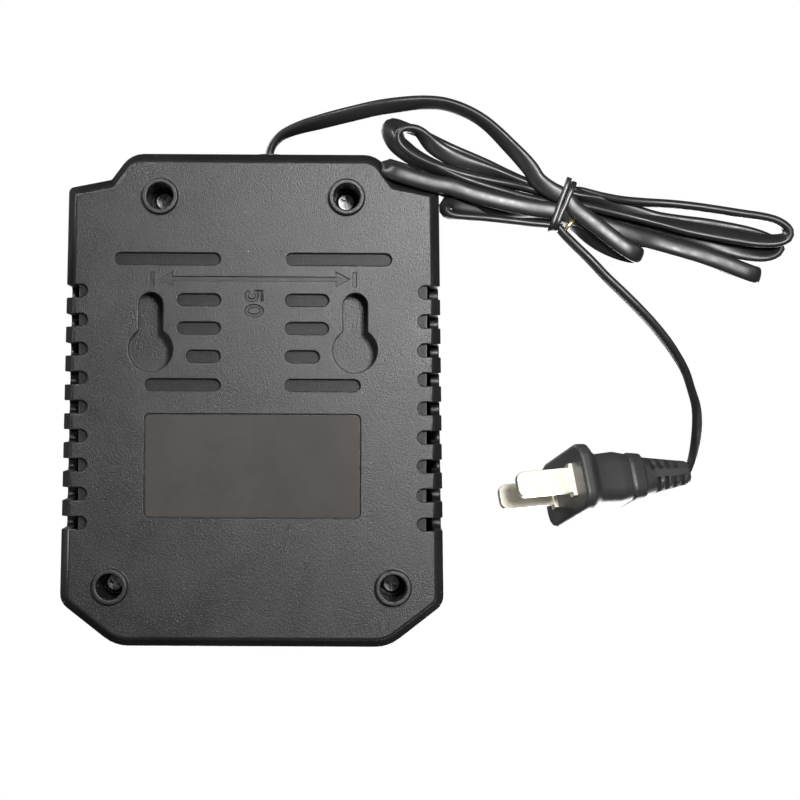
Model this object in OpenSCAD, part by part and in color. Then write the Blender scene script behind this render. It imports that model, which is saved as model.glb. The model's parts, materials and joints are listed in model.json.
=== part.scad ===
// Desk charger for slide-in tool battery packs, standing upright.
// X = 0 is the middle of the housing, Y points from the front to the cord, Z = 0 is the table.

/* [Housing] */
// Length of the flat underside, front to rear
face_l = 116.2; // [112:0.2:120]
// Width of the flat underside at the front
front_w = 89.6; // [86:0.2:92]
// Width of the flat underside at the shoulders
shoulder_w = 86.2; // [83:0.2:88]
// Width of the neck that the cord comes out of
neck_w = 58; // [55:0.5:60]
// Width of the sloped band round the underside
band = 2.3; // [1.5:0.1:3]
// Height of the joint between the two shells
split_z = 20; // [19:0.5:22]
// Height of the deck that a battery slides over
deck_z = 33.6; // [33:0.2:36]
// Overall height, to the top of the dock rails
total_h = 46; // [45:0.5:50]
// Thickness of the moulded walls
wall = 2.2; // [1.8:0.1:2.6]

/* [Feet and screws] */
// How far the screw collars stand out of the underside
foot_h = 1.8; // [1:0.1:2.5]
// Outer diameter of a collar
collar_d = 8.8; // [8:0.1:9.4]
// Diameter of a screw well
well_d = 6.35; // [5.6:0.05:6.8]
// Depth of a screw well from the foot
well_depth = 16.4; // [14:0.2:17]
// Distance of the rear screws from the middle
rear_screw_x = 22.75; // [21:0.05:24]
// Place of the rear screws along the housing
rear_screw_y = 49.7; // [48:0.1:51]
// Distance of the front screws from the middle
front_screw_x = 34.6; // [33:0.1:35]
// Place of the front screws along the housing
front_screw_y = -45.6; // [-47:0.1:-44]

/* [Wall hanging] */
// Distance between the two keyholes
keyhole_gap = 50; // [49:0.5:51]
// Diameter of a keyhole's round entry
keyhole_d = 10.8; // [10:0.1:11.2]
// Width of a keyhole's narrow end
keyhole_slot = 5.9; // [5:0.1:6.2]
// Place of the round entries along the housing
keyhole_y = 12.3; // [12:0.1:13]
// Distance that a screw head travels in a keyhole
keyhole_run = 11; // [10:0.5:11.5]

/* [Vents] */
// Width of the blind slots in the underside
vent_w = 2.9; // [2:0.1:3]
// Depth of the blind slots
vent_depth = 1.3; // [0.8:0.1:1.6]
// Number of openings in each side
side_vents = 9; // [5:1:9]
// Distance between two side openings
side_pitch = 7.09; // [6.5:0.01:7.1]
// Width of a side opening
side_vent_w = 3.2; // [2.4:0.1:3.6]
// Height of the top of the side openings
side_vent_top = 15; // [12:0.5:17]

/* [Battery dock] */
// Clear width of the channel below the lips
channel_w = 62; // [58:0.5:64]
// Clear width between the lips
lip_gap = 55; // [50:0.5:56]
// Height of the lips' lower edge
lip_z = 40.6; // [39:0.2:42]
// Front end of the rails
rail_front = -36; // [-40:1:-30]
// Rear end of the channel
channel_end = 34; // [32:0.5:36]

/* [Mains lead] */
// Width of the flat twin cord
cord_w = 4.2; // [3.8:0.1:4.4]
// Thickness of the flat twin cord
cord_t = 2.1; // [1.8:0.1:2.4]
// Height of the cord's exit
exit_z = 12; // [11:0.5:13]
// Sideways place of the cord's exit
exit_x = -3.5; // [-5:0.5:5]

/* [Hidden] */

$fn = 48;
slack = 0.01;                       // keeps cuts from ending on a face
face_z = foot_h;                    // height of the flat underside
band_h = 2.4;                       // height of the sloped band
floor_t = 2.5;                      // thickness of the lower shell's floor
floor_z = face_z + floor_t;         // top of that floor
flank = band + 0.3;                 // how far the walls stand out past the underside
ceiling_z = deck_z - wall;          // underside of the deck
shoulder_y = 50;                    // shoulder corner
neck_foot = [33.6, 51.9];           // where the neck meets the shoulder
front_cut = 9.4;                    // length of the front corner cuts along Y
front_flat = 65.6;                  // width of the straight front edge
tongue_h = 1.2;                     // locating tongue round the lower shell
tongue_t = 1;                       // and its thickness
well_r = collar_d / 2 + 0.4;        // outside of a screw well above the floor
seat_z = well_depth;                // where a screw head seats
post_top = seat_z + wall;           // top of a well, where the upper shell's boss lands
screw_places = [
    [rear_screw_x, rear_screw_y], [-rear_screw_x, rear_screw_y],
    [front_screw_x, front_screw_y], [-front_screw_x, front_screw_y]
];

// Points and outlines

function unit(v) = v / norm(v);

// An arc of radius r in the corner p between the points a and b
function corner(p, a, b, r, steps) =
    let (
        u = unit(a - p), v = unit(b - p), half = acos(u * v) / 2,
        c = p + unit(u + v) * r / sin(half),
        s = p + u * r / tan(half) - c, e = p + v * r / tan(half) - c,
        from = atan2(s.y, s.x), to = atan2(e.y, e.x) - from,
        turn = to > 180 ? to - 360 : to < -180 ? to + 360 : to
    )
    [for (i = [0 : steps]) c + r * [cos(from + turn * i / steps), sin(from + turn * i / steps)]];

// A polygon with each corner rounded by its own radius
function rounded(points, radii, steps) =
    let (n = len(points))
    [for (i = [0 : n - 1])
        each corner(points[i], points[(i + n - 1) % n], points[(i + 1) % n], radii[i], steps)];

function outward(a, b) = let (d = unit(b - a)) [d.y, -d.x];

// A counter-clockwise polygon with every side moved outwards
function grown(points, by) =
    let (n = len(points))
    [for (i = [0 : n - 1])
        let (
            before = outward(points[(i + n - 1) % n], points[i]),
            after = outward(points[i], points[(i + 1) % n])
        )
        points[i] + by * (before + after) / (1 + before * after)];

function mirrored(half) = [
    each half,
    for (i = [len(half) - 1 : -1 : 0]) [-half[i].x, half[i].y, half[i][2], half[i][3]]
];

// Housing corners from front to rear: place, radius, and 1 where it is convex
housing_corners = mirrored([
    [front_flat / 2, -face_l / 2, 7.5, 1],
    [front_w / 2, -face_l / 2 + front_cut, 2, 1],
    [shoulder_w / 2, shoulder_y, 0.7, 0.3],
    [neck_foot.x, neck_foot.y, 1.8, -0.4],
    [neck_w / 2, face_l / 2, 4, 1]
]);

// The housing's outline, grown by that much from the flat underside's
function outline(by) = rounded(
    grown([for (c = housing_corners) [c.x, c.y]], by),
    [for (c = housing_corners) max(0.4, c[2] + by * c[3])],
    4
);

function ring(points, z) = [for (p = points) [p.x, p.y, z]];

// A solid through rings of as many points each, lowest first
module loft(rings) {
    n = len(rings[0]);
    last = (len(rings) - 1) * n;
    polyhedron(
        points = [for (r = rings) each r],
        faces = [
            [for (i = [0 : n - 1]) i],
            [for (i = [n - 1 : -1 : 0]) last + i],
            for (k = [0 : len(rings) - 2], i = [0 : n - 1])
                [k * n + i, (k + 1) * n + i, (k + 1) * n + (i + 1) % n, k * n + (i + 1) % n]
        ],
        convexity = 8
    );
}

// A slot with round ends between two points
module slot(a, b, w, z0, z1) {
    way = b - a;
    for (p = [a, b]) translate([p.x, p.y, z0]) cylinder(d = w, h = z1 - z0);
    translate([a.x, a.y, z0]) rotate(atan2(way.y, way.x)) translate([0, -w / 2, 0])
        cube([norm(way), w, z1 - z0]);
}

module box(low, high) translate(low) cube(high - low);

module both_sides() {
    children();
    mirror([1, 0, 0]) children();
}

// Lower shell

post_r = 2.6;
board_z = 10.4;                     // underside of the circuit board
board_t = 1.6;
board_top = board_z + board_t;
post_places = [[33.5, 29], [-33.5, 29], [31, -33], [-31, -33]];
chamber_r = 5;                      // half the width of the room behind a keyhole's slot
chamber_top = floor_z + 3.6;
chamber_wall = 1.2;
label_size = [52.8, 25.4];
label_y = -16.1;
label_depth = 0.5;
label_places = [for (x = [-1, 1], y = [-1, 1])
    [x * (label_size.x / 2 - 1), label_y + y * (label_size.y / 2 - 1)]];

module keyhole_room(grow, top) {
    x = keyhole_gap / 2;
    for (side = [-x, x]) {
        slot([side, keyhole_y], [side, keyhole_y + keyhole_run], 2 * (chamber_r + grow), floor_z - slack, top);
        translate([side, keyhole_y, floor_z - slack])
            cylinder(d = keyhole_d + 0.8 + 2 * grow, h = top - floor_z + slack);
    }
}

module keyhole_mouths() {
    x = keyhole_gap / 2;
    for (side = [-x, x]) {
        translate([side, keyhole_y, 0]) cylinder(d = keyhole_d, h = floor_z + slack);
        slot([side, keyhole_y], [side, keyhole_y + keyhole_run], keyhole_slot, 0, floor_z + slack);
    }
}

// Rows of blind slots in the underside: inner end, outer end, place along the housing
vent_rows = [
    [9.5, 32.3, 34.5], [9.4, 17, 24.5], [9.4, 17, 17.6], [9.4, 14.8, 10.7], [9.4, 24.8, 3.7]
];

module underside_vents() both_sides()
    for (row = vent_rows)
        slot([row[0], row[2]], [row[1], row[2]], vent_w, face_z - 1, face_z + vent_depth);

side_vent_x = 42;                   // centre of the round, blind inner end of a side opening
side_vent_open = 42.6;              // from here outwards it goes through the wall
side_vent_y = -1.8;                 // middle one of the side openings

module side_vent_cuts() both_sides()
    for (i = [0 : side_vents - 1]) {
        y = side_vent_y + (i - (side_vents - 1) / 2) * side_pitch;
        slot([side_vent_x, y], [side_vent_open + 1, y], side_vent_w, -1, face_z + vent_depth);
        box([side_vent_open, y - side_vent_w / 2, -1], [60, y + side_vent_w / 2, side_vent_top]);
        translate([side_vent_x, y, side_vent_top]) rotate([0, 90, 0]) cylinder(d = side_vent_w, h = 18);
    }

module label_recess() {
    linear_extrude(face_z + label_depth)
        polygon(rounded(
            [for (c = [[1, -1], [1, 1], [-1, 1], [-1, -1]])
                [c.x * label_size.x / 2, label_y + c.y * label_size.y / 2]],
            [1.2, 1.2, 1.2, 1.2], 4
        ));
}

bushing_r = 3.4;                    // round lower end of the bushing's slot in the rear wall
bushing_l = 20;                     // its tapered sleeve, inside the housing
sleeve_r = 2.8;                     // thin end of that sleeve
rear_out = face_l / 2 + flank;      // outside of the rear wall
clamp_y = 37.5;
clamp_reach = 7.5;                  // clamp screws, from the middle of the cord
clamp_z = exit_z + cord_w / 2;      // underside of the clamp bar
inner_end = clamp_y - 3;            // where the cord is stripped to its two wires
lead_start = rear_out - 1.5;        // where the outer cord takes over from the inner end, in the bushing

module bushing_slot(grow) {
    translate([exit_x, rear_out - wall - 2, exit_z]) rotate([-90, 0, 0])
        cylinder(r = bushing_r + grow, h = wall + 4);
    box([exit_x - bushing_r - grow, rear_out - wall - 2, exit_z], [exit_x + bushing_r + grow, rear_out + 2, split_z + 3]);
}

module bottom_cover() color([0.13, 0.13, 0.135]) {
    difference() {
        union() {
            difference() {
                loft([
                    ring(outline(0), face_z), ring(outline(band), face_z + band_h), ring(outline(flank), split_z)
                ]);
                loft([
                    ring(outline(-0.8), floor_z), ring(outline(band - wall), floor_z + band_h),
                    ring(outline(flank - wall), split_z + 1)
                ]);
            }
            difference() {
                loft([ring(outline(flank - wall + tongue_t), split_z), ring(outline(flank - wall + tongue_t), split_z + tongue_h)]);
                loft([ring(outline(flank - wall), split_z - 1), ring(outline(flank - wall), split_z + 2)]);
            }
            for (p = screw_places) translate([p.x, p.y, 0]) {
                cylinder(d = collar_d, h = face_z + 1);
                translate([0, 0, face_z + 1]) cylinder(r = well_r, h = post_top - face_z - 1);
            }
            for (p = post_places) translate([p.x, p.y, floor_z - 1]) cylinder(r = post_r, h = board_z - floor_z + 1);
            for (side = [-1, 1]) translate([exit_x + side * clamp_reach, clamp_y, floor_z - 1])
                cylinder(r = post_r, h = clamp_z - floor_z + 1);
            keyhole_room(chamber_wall, chamber_top + chamber_wall);
        }
        for (p = screw_places) translate([p.x, p.y, -1]) {
            cylinder(d = well_d, h = seat_z + 1);
            cylinder(d = 3.4, h = post_top + 2);
        }
        for (p = post_places) translate([p.x, p.y, floor_z]) cylinder(d = 2.2, h = 10);
        for (side = [-1, 1]) translate([exit_x + side * clamp_reach, clamp_y, floor_z]) cylinder(d = 2.2, h = 20);
        keyhole_room(0, chamber_top);
        keyhole_mouths();
        underside_vents();
        side_vent_cuts();
        label_recess();
        bushing_slot(0);
    }
}

module rating_label() color([0.2, 0.2, 0.21])
    translate([0, 0, face_z + label_depth - 0.2]) linear_extrude(0.2)
        polygon(rounded(
            [for (c = [[1, -1], [1, 1], [-1, 1], [-1, -1]])
                [c.x * (label_size.x / 2 - 0.3), label_y + c.y * (label_size.y / 2 - 0.3)]],
            [1, 1, 1, 1], 4
        ));

// Screws: head first, the shank pointing up

module cross_recess(d, depth) {
    for (turn = [0, 90]) rotate(turn) box([-d / 2, -d / 8, -slack], [d / 2, d / 8, depth]);
}

module screw(head_d, head_h, shank_d, shank_l) {
    difference() {
        rotate_extrude() polygon([
            [0, 0], [head_d / 2 - 0.6, 0], [head_d / 2, 0.6], [head_d / 2, head_h],
            [shank_d / 2, head_h], [shank_d / 2, head_h + shank_l - 1], [0.3, head_h + shank_l], [0, head_h + shank_l]
        ]);
        cross_recess(head_d * 0.62, head_h * 0.6);
    }
}

case_head_h = 2.2;

module case_screws() color([0.75, 0.76, 0.78])
    for (p = screw_places) translate([p.x, p.y, seat_z - case_head_h]) rotate(20) screw(5, case_head_h, 2.8, 10);

module board_screws() color([0.75, 0.76, 0.78])
    for (p = post_places) translate([p.x, p.y, board_top + 1.6]) mirror([0, 0, 1]) screw(4.4, 1.6, 2.2, 6);

// Upper shell

slope = 14;                         // fall of the front apron
dock_out = -3.2;                    // the rails' outside at the deck, from the underside's outline
dock_top = -6;                      // and at their top
rail_cap = 1.6;                     // height of the rails' soft top edge
block_hollow = 25;                  // half the width of the hollow in the rear block
terminal_w = 39;                    // width of the opening for the terminal block
terminal_y = [15, channel_end + 1]; // its front and rear
pipe_places = [[-7, -48], [7, -48]];
pipe_d = 5;

// Everything above the sloped front apron, lowered by that much
module above_apron(down) {
    translate([0, rail_front, deck_z - down]) rotate([slope, 0, 0]) box([-70, -60, 0], [70, 0, 40]);
    translate([0, -face_l / 2 - flank + 2.6, deck_z - down - 7]) rotate([52, 0, 0]) box([-70, -20, 0], [70, 20, 40]);
}

module upper_form() {
    difference() {
        loft([
            ring(outline(flank), split_z), ring(outline(flank - 0.3), deck_z - 4.6),
            ring(outline(flank - 1.1), deck_z - 2), ring(outline(flank - 2.6), deck_z - 0.5),
            ring(outline(flank - 4.4), deck_z)
        ]);
        above_apron(0);
    }
}

module upper_inside() {
    difference() {
        loft([
            ring(outline(flank - wall), split_z - 1), ring(outline(flank - wall - 0.3), deck_z - 5),
            ring(outline(flank - wall - 2.4), ceiling_z)
        ]);
        above_apron(wall);
    }
}

// Rails and rear block, before the channel is cut
module dock_form() {
    difference() {
        loft([
            ring(outline(dock_out), deck_z - 1.6), ring(outline(dock_out - 1.6), total_h - rail_cap),
            ring(outline(dock_out - 2), total_h - 0.5), ring(outline(dock_top), total_h)
        ]);
        translate([0, rail_front, deck_z]) rotate([-22, 0, 0]) box([-60, -60, -20], [60, 0, 40]);
    }
}

module channel() {
    half = channel_w / 2;
    box([-half, -80, deck_z], [half, channel_end, lip_z]);
    box([-lip_gap / 2, -80, lip_z - 1], [lip_gap / 2, channel_end, total_h + 1]);
    // Flared mouth
    both_sides() translate([lip_gap / 2, rail_front, lip_z]) rotate([0, 0, 24])
        box([-6, -30, -slack], [0.2, 12, 20]);
    both_sides() translate([half, rail_front, deck_z]) rotate([0, 0, 14])
        box([-6, -30, 0], [0, 12, lip_z - deck_z]);
    // Sloped underside of the lips
    both_sides() translate([0, 0, lip_z]) rotate([90, 0, 0]) translate([0, 0, -channel_end])
        linear_extrude(120) polygon([[lip_gap / 2 - 1, -1], [half, -1], [half, 0], [lip_gap / 2, 1.4], [lip_gap / 2 - 1, 1.4]]);
}

module boss(p) translate([p.x, p.y, post_top]) cylinder(d = 7.2, h = ceiling_z - post_top + 1);

module deck_vents() {
    for (i = [0 : 5]) slot([-10, -26 + 6 * i], [10, -26 + 6 * i], 2.4, ceiling_z - 1, deck_z + 1);
}

module top_housing() color([0.11, 0.11, 0.115]) {
    difference() {
        union() {
            difference() {
                union() {
                    difference() {
                        upper_form();
                        upper_inside();
                    }
                    dock_form();
                }
                channel();
                // Hollow rear block and hollow rails
                box([-block_hollow, channel_end + wall, deck_z], [block_hollow, rear_out - 8.5, total_h - wall]);
                box([-18, channel_end + wall, ceiling_z - 2], [18, rear_out - 8.5, deck_z + 1]);
                both_sides() box([channel_w / 2 + wall, rail_front + 6, ceiling_z - 4], [channel_w / 2 + wall + 2, 40, total_h - wall - 1]);
            }
            intersection() {
                union() for (p = screw_places) boss(p);
                union() {
                    upper_form();
                    box([-30, 38, split_z], [30, 54, deck_z]);
                }
            }
        }
        // Rebate for the lower shell's tongue
        loft([
            ring(outline(flank - wall + tongue_t + 0.1), split_z - 1),
            ring(outline(flank - wall + tongue_t + 0.1), split_z + tongue_h + 0.2)
        ]);
        for (p = screw_places) translate([p.x, p.y, post_top - 1]) cylinder(d = 2.9, h = 11);
        box([-terminal_w / 2, terminal_y[0], ceiling_z - 2], [terminal_w / 2, terminal_y[1] + 2, lip_z + 1.4]);
        for (x = [-20.8, 20.8]) translate([x, 25, ceiling_z - 1]) cylinder(d = 2, h = 2.9);
        for (p = pipe_places) translate([p.x, p.y, ceiling_z - 8]) cylinder(d = pipe_d, h = 12);
        deck_vents();
    }
}

// Terminals

blade_x = [-12, 0, 12];
block_low = ceiling_z - wall;

module terminal_block() color([0.16, 0.16, 0.17]) {
    difference() {
        union() {
            box([-terminal_w / 2 - 3, terminal_y[0] - 3, block_low], [terminal_w / 2 + 3, terminal_y[1] + 1, ceiling_z]);
            box([-terminal_w / 2 + 0.2, terminal_y[0] + 0.2, block_low], [terminal_w / 2 - 0.2, terminal_y[1] - 0.2, deck_z + 1]);
            for (x = [-18, -6, 6, 18]) difference() {
                box([x - 1.2, terminal_y[0] + 0.4, deck_z], [x + 1.2, terminal_y[1] - 0.2, lip_z]);
                translate([x, terminal_y[0] + 0.4, lip_z]) rotate([40, 0, 0]) box([-3, -6, 0], [3, 6, 6]);
            }
            box([-19.2, terminal_y[1] - 2.4, deck_z], [19.2, terminal_y[1] - 0.2, lip_z]);
        }
        for (x = blade_x) box([x - 0.4, 19, block_low - 1], [x + 0.4, 31, deck_z + 2]);
        for (x = [-20.8, 20.8]) translate([x, 25, block_low - 1]) cylinder(d = 2.3, h = 10);
    }
}

// A contact blade and the tail that its lead is soldered to
module terminal_blade(x) {
    difference() {
        union() {
            box([x - 0.4, 19, block_low - 3], [x + 0.4, 31, lip_z - 1]);
            box([x - 0.4, 17, deck_z + 1.4], [x + 0.4, 31, lip_z - 1]);
        }
        translate([x, 17, lip_z - 1]) rotate([45, 0, 0]) cube([2, 2, 2], center = true);
        translate([x, 21, block_low - 1.6]) rotate([0, 90, 0]) cylinder(d = 1.4, h = 4, center = true);
    }
}

module positive_terminal() color([0.8, 0.78, 0.7]) terminal_blade(blade_x[0]);
module sense_terminal() color([0.8, 0.78, 0.7]) terminal_blade(blade_x[1]);
module negative_terminal() color([0.8, 0.78, 0.7]) terminal_blade(blade_x[2]);

module terminal_screws() color([0.75, 0.76, 0.78])
    for (x = [-20.8, 20.8]) translate([x, 25, block_low - 1.4]) screw(4, 1.4, 2, 4);

// Status lights

module light_pipes() color([0.85, 0.88, 0.86, 0.6])
    for (p = pipe_places) translate([p.x, p.y, 21]) rotate_extrude() polygon([
        [0, 0], [pipe_d / 2, 0], [pipe_d / 2, 9.6],
        for (a = [15 : 15 : 75]) [cos(a) * pipe_d / 2, 9.6 + sin(a) * 1.6],
        [0, 11.2]
    ]);

module status_leds() color([0.8, 0.85, 0.8])
    for (p = pipe_places) translate([p.x, p.y, board_top]) {
        translate([0, 0, 3]) rotate_extrude() polygon([
            [0, 0], [1.9, 0], [1.9, 0.8], [1.5, 0.8], [1.5, 3.6],
            for (a = [15 : 15 : 75]) [cos(a) * 1.5, 3.6 + sin(a) * 1.5],
            [0, 5.1]
        ]);
        for (x = [-1.27, 1.27]) translate([x, 0, 0]) cylinder(d = 0.6, h = 3.2, $fn = 16);
    }

// Circuit board and what stands on it

board_outline = [
    [27, -54], [27, -39], [37, -39], [37, 32], [33, 36], [14, 36], [11, 31], [-18, 31], [-21, 36], [-33, 36], [-37, 32], [-37, -39], [-27, -39], [-27, -54]
];

module circuit_board() color([0.1, 0.3, 0.14]) difference() {
    translate([0, 0, board_z]) linear_extrude(board_t) polygon(board_outline);
    for (p = post_places) translate([p.x, p.y, board_z - 1]) cylinder(d = 2.6, h = 4);
}

core_size = [26, 9, 18];            // the transformer's ferrite
core_at = [2, -8];

module transformer_core() color([0.16, 0.16, 0.17])
    translate([core_at.x, core_at.y, board_top]) difference() {
        box([-core_size.x / 2, -core_size.y / 2, 0], [core_size.x / 2, core_size.y / 2, core_size.z]);
        for (z = [3, 12]) box([-9.5, -6, z], [9.5, 6, z + 3.4]);
        for (x = [-core_size.x / 2, core_size.x / 2]) translate([x, 0, -1]) cylinder(r = 1.6, h = 20, $fn = 32);
    }

module transformer_winding() color([0.85, 0.68, 0.2])
    translate([core_at.x, core_at.y, board_top]) difference() {
        union() {
            translate([-7.5, 0, core_size.z / 2]) rotate([0, 90, 0]) linear_extrude(15)
                polygon(rounded([[5.6, -9], [5.6, 9], [-5.6, 9], [-5.6, -9]], [3, 3, 3, 3], 4));
            for (x = [-9, 7.5]) box([x, -10, 3.1], [x + 1.5, 10, 14.9]);
            for (x = [-9, 7.5]) box([x, -10, 0], [x + 1.5, -6, 3.2]);
            for (x = [-9, 7.5]) box([x, 6, 0], [x + 1.5, 10, 3.2]);
        }
        box([-12, -core_size.y / 2 - 0.01, 6.4], [12, core_size.y / 2 + 0.01, 12]);
        for (x = [-12, 9.5]) box([x, -core_size.y / 2 - 0.01, -1], [x + 2.5, core_size.y / 2 + 0.01, 20]);
        box([-12, -core_size.y / 2 - 0.01, -1], [12, core_size.y / 2 + 0.01, 3]);
        box([-12, -core_size.y / 2 - 0.01, 15.4], [12, core_size.y / 2 + 0.01, 20]);
    }

// An electrolytic capacitor standing at the origin
module can(d, h) {
    rotate_extrude() polygon([
        [0, 0], [d / 2 - 0.5, 0], [d / 2, 0.5], [d / 2, 1.6], [d / 2 - 0.5, 2.1], [d / 2, 2.6],
        [d / 2, h - 0.5], [d / 2 - 0.5, h], [0, h]
    ]);
}

module input_capacitor() color([0.12, 0.14, 0.3]) {
    translate([15, 12, board_top + 7.5]) rotate([0, 90, 0]) can(15, 21);
    for (y = [8.3, 15.7]) {
        box([13.4, y - 0.4, board_top + 7.1], [15.1, y + 0.4, board_top + 7.9]);
        box([13.4, y - 0.4, board_top], [14.2, y + 0.4, board_top + 7.9]);
    }
}

module output_capacitors() color([0.12, 0.14, 0.3])
    for (x = [10, 22]) translate([x, -29, board_top]) can(10, 16);

module film_capacitor() color([0.85, 0.75, 0.15])
    box([-30, 25, board_top], [-16, 31, board_top + 11]);

module disc_capacitor() color([0.15, 0.3, 0.65]) translate([-6, -24, board_top]) {
    translate([0, 0, 6.5]) rotate([90, 0, 0]) rotate_extrude() polygon([
        [0, -1.5], [3.2, -1.5], [4.2, -0.8], [4.2, 0.8], [3.2, 1.5], [0, 1.5]
    ]);
    for (x = [-2.5, 2.5]) translate([x, 0, 0]) cylinder(d = 0.6, h = 4, $fn = 16);
}

choke_at = [-24, 13];

module choke_core() color([0.2, 0.25, 0.2])
    translate([choke_at.x, choke_at.y, board_top + 8.5]) rotate([90, 0, 0]) rotate_extrude()
        polygon([[4.1, -3], [7, -3], [7, 3], [4.1, 3]]);

// Two halves of a toroid's winding, each a row of turns round the core
module choke_winding() color([0.72, 0.4, 0.16])
    translate([choke_at.x, choke_at.y, board_top + 8.5]) rotate([90, 0, 0])
        for (side = [0, 180], turn = [-46 : 23 : 46]) rotate(side + turn) difference() {
            box([3.2, -0.55, -3.8], [7.9, 0.55, 3.8]);
            box([4, -1, -3 - slack], [7.05, 1, 3 + slack]);
        }

fuse_at = [10.6, 27, board_top + 3.4];

module fuse_tube() color([0.9, 0.88, 0.8]) translate([fuse_at.x + 4, fuse_at.y, fuse_at.z])
    rotate([0, 90, 0]) cylinder(d = 4.6, h = 12);

module fuse_caps() color([0.78, 0.79, 0.8]) for (x = [0, 15]) translate([fuse_at.x + x, fuse_at.y, 0]) {
    translate([0, 0, fuse_at.z]) rotate([0, 90, 0]) difference() {
        cylinder(d = 5.4, h = 5);
        translate([0, 0, x == 0 ? 4 : -1]) cylinder(d = 4.6, h = 2);
    }
    box([1.9, -0.6, board_top], [3.1, 0.6, board_top + 1.2]);
}

module bridge_rectifier() color([0.12, 0.12, 0.13]) {
    box([-6, 21, board_top + 3], [9, 24.4, board_top + 13]);
    for (x = [-3.9, -0.1, 3.7, 7.2]) box([x - 0.5, 22.3, board_top], [x + 0.5, 23.1, board_top + 3.2]);
}

tab_hole = 15.4;                    // height of a power device's screw

// A finned aluminium sink with its back plate along Y
module heat_sink(length, height) {
    difference() {
        union() {
            box([0, 0, 0], [2, length, height]);
            for (i = [0 : floor(length / 5) - 1]) box([2 - slack, 1 + 5 * i, 2], [6, 2.4 + 5 * i, height]);
        }
        translate([-1, length / 2 + 0.9, tab_hole]) rotate([0, 90, 0]) cylinder(d = 2.9, h = 4);
    }
}

// A power device flat against a sink: tab, body and three legs
module tab_device() {
    difference() {
        union() {
            box([0, -5, 3], [1.3, 5, 18.2]);
            box([0, -5, 3], [4.4, 5, 12.2]);
        }
        translate([-1, 0, tab_hole]) rotate([0, 90, 0]) cylinder(d = 3, h = 4);
    }
    for (y = [-2.54, 0, 2.54]) box([1.8, y - 0.4, 0], [2.4, y + 0.4, 3.1]);
}

sink_h = 18.8;
sink_left = [-28, -14];
sink_right = [28, -18];

module primary_heat_sink() color([0.7, 0.71, 0.73])
    translate([sink_left.x, sink_left.y, board_top]) mirror([1, 0, 0]) heat_sink(20, sink_h);
module power_transistor() color([0.12, 0.12, 0.13])
    translate([sink_left.x, sink_left.y + 10.9, board_top]) tab_device();
module output_heat_sink() color([0.7, 0.71, 0.73])
    translate([sink_right.x, sink_right.y, board_top]) heat_sink(15, sink_h);
module output_diode() color([0.12, 0.12, 0.13])
    translate([sink_right.x, sink_right.y + 8.4, board_top]) mirror([1, 0, 0]) tab_device();

module heat_sink_screws() color([0.75, 0.76, 0.78]) {
    translate([sink_left.x + 1.3 + 1.8, sink_left.y + 10.9, board_top + tab_hole]) rotate([0, -90, 0]) screw(5, 1.8, 2.6, 3.6);
    translate([sink_right.x - 1.3 - 1.8, sink_right.y + 8.4, board_top + tab_hole]) rotate([0, 90, 0]) screw(5, 1.8, 2.6, 3.6);
}

module optocoupler() color([0.92, 0.92, 0.9]) {
    box([-17, -27, board_top + 0.6], [-10.6, -22.4, board_top + 4]);
    for (x = [-16.6, -11.9], y = [-28, -22.4]) box([x, y, board_top], [x + 0.8, y + 1, board_top + 2]);
}

module controller_chip() color([0.12, 0.12, 0.13]) {
    box([-19, -36, board_top + 0.5], [-9.4, -30, board_top + 4]);
    for (i = [0 : 3], y = [-37, -30]) box([-18.4 + 2.54 * i, y, board_top], [-17.6 + 2.54 * i, y + 1, board_top + 2]);
}

// Tubes: a section swept along a route

function heading(route, i) =
    unit(route[min(i + 1, len(route) - 1)] - route[max(i - 1, 0)]);

// The ring of an oval section of w across and h towards up, at point i of a route
function tube_ring(route, i, w, h, sides, up) =
    let (along = heading(route, i), side = unit(cross(up, along)), up = cross(along, side))
    [for (k = [0 : sides - 1]) route[i] + side * w / 2 * cos(360 * k / sides) + up * h / 2 * sin(360 * k / sides)];

module tube(route, w, h, sides, up = [0, 0, 1]) {
    rings = [for (i = [0 : len(route) - 1]) tube_ring(route, i, w, h, sides, up)];
    n = sides;
    last = (len(rings) - 1) * n;
    polyhedron(
        points = [for (r = rings) each r],
        faces = [
            [for (i = [n - 1 : -1 : 0]) i],
            [for (i = [0 : n - 1]) last + i],
            for (k = [0 : len(rings) - 2], i = [0 : n - 1])
                [k * n + i, k * n + (i + 1) % n, (k + 1) * n + (i + 1) % n, (k + 1) * n + i]
        ],
        convexity = 6
    );
}

// A point on a smooth curve through p1 and p2
function curve(p0, p1, p2, p3, t) =
    0.5 * (2 * p1 + (p2 - p0) * t + (2 * p0 - 5 * p1 + 4 * p2 - p3) * t * t
        + (3 * p1 - p0 - 3 * p2 + p3) * t * t * t);

function smooth(points, steps) = [
    for (i = [0 : len(points) - 2], s = [0 : steps - 1])
        curve(points[max(i - 1, 0)], points[i], points[i + 1], points[min(i + 2, len(points) - 1)], s / steps),
    points[len(points) - 1]
];

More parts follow.
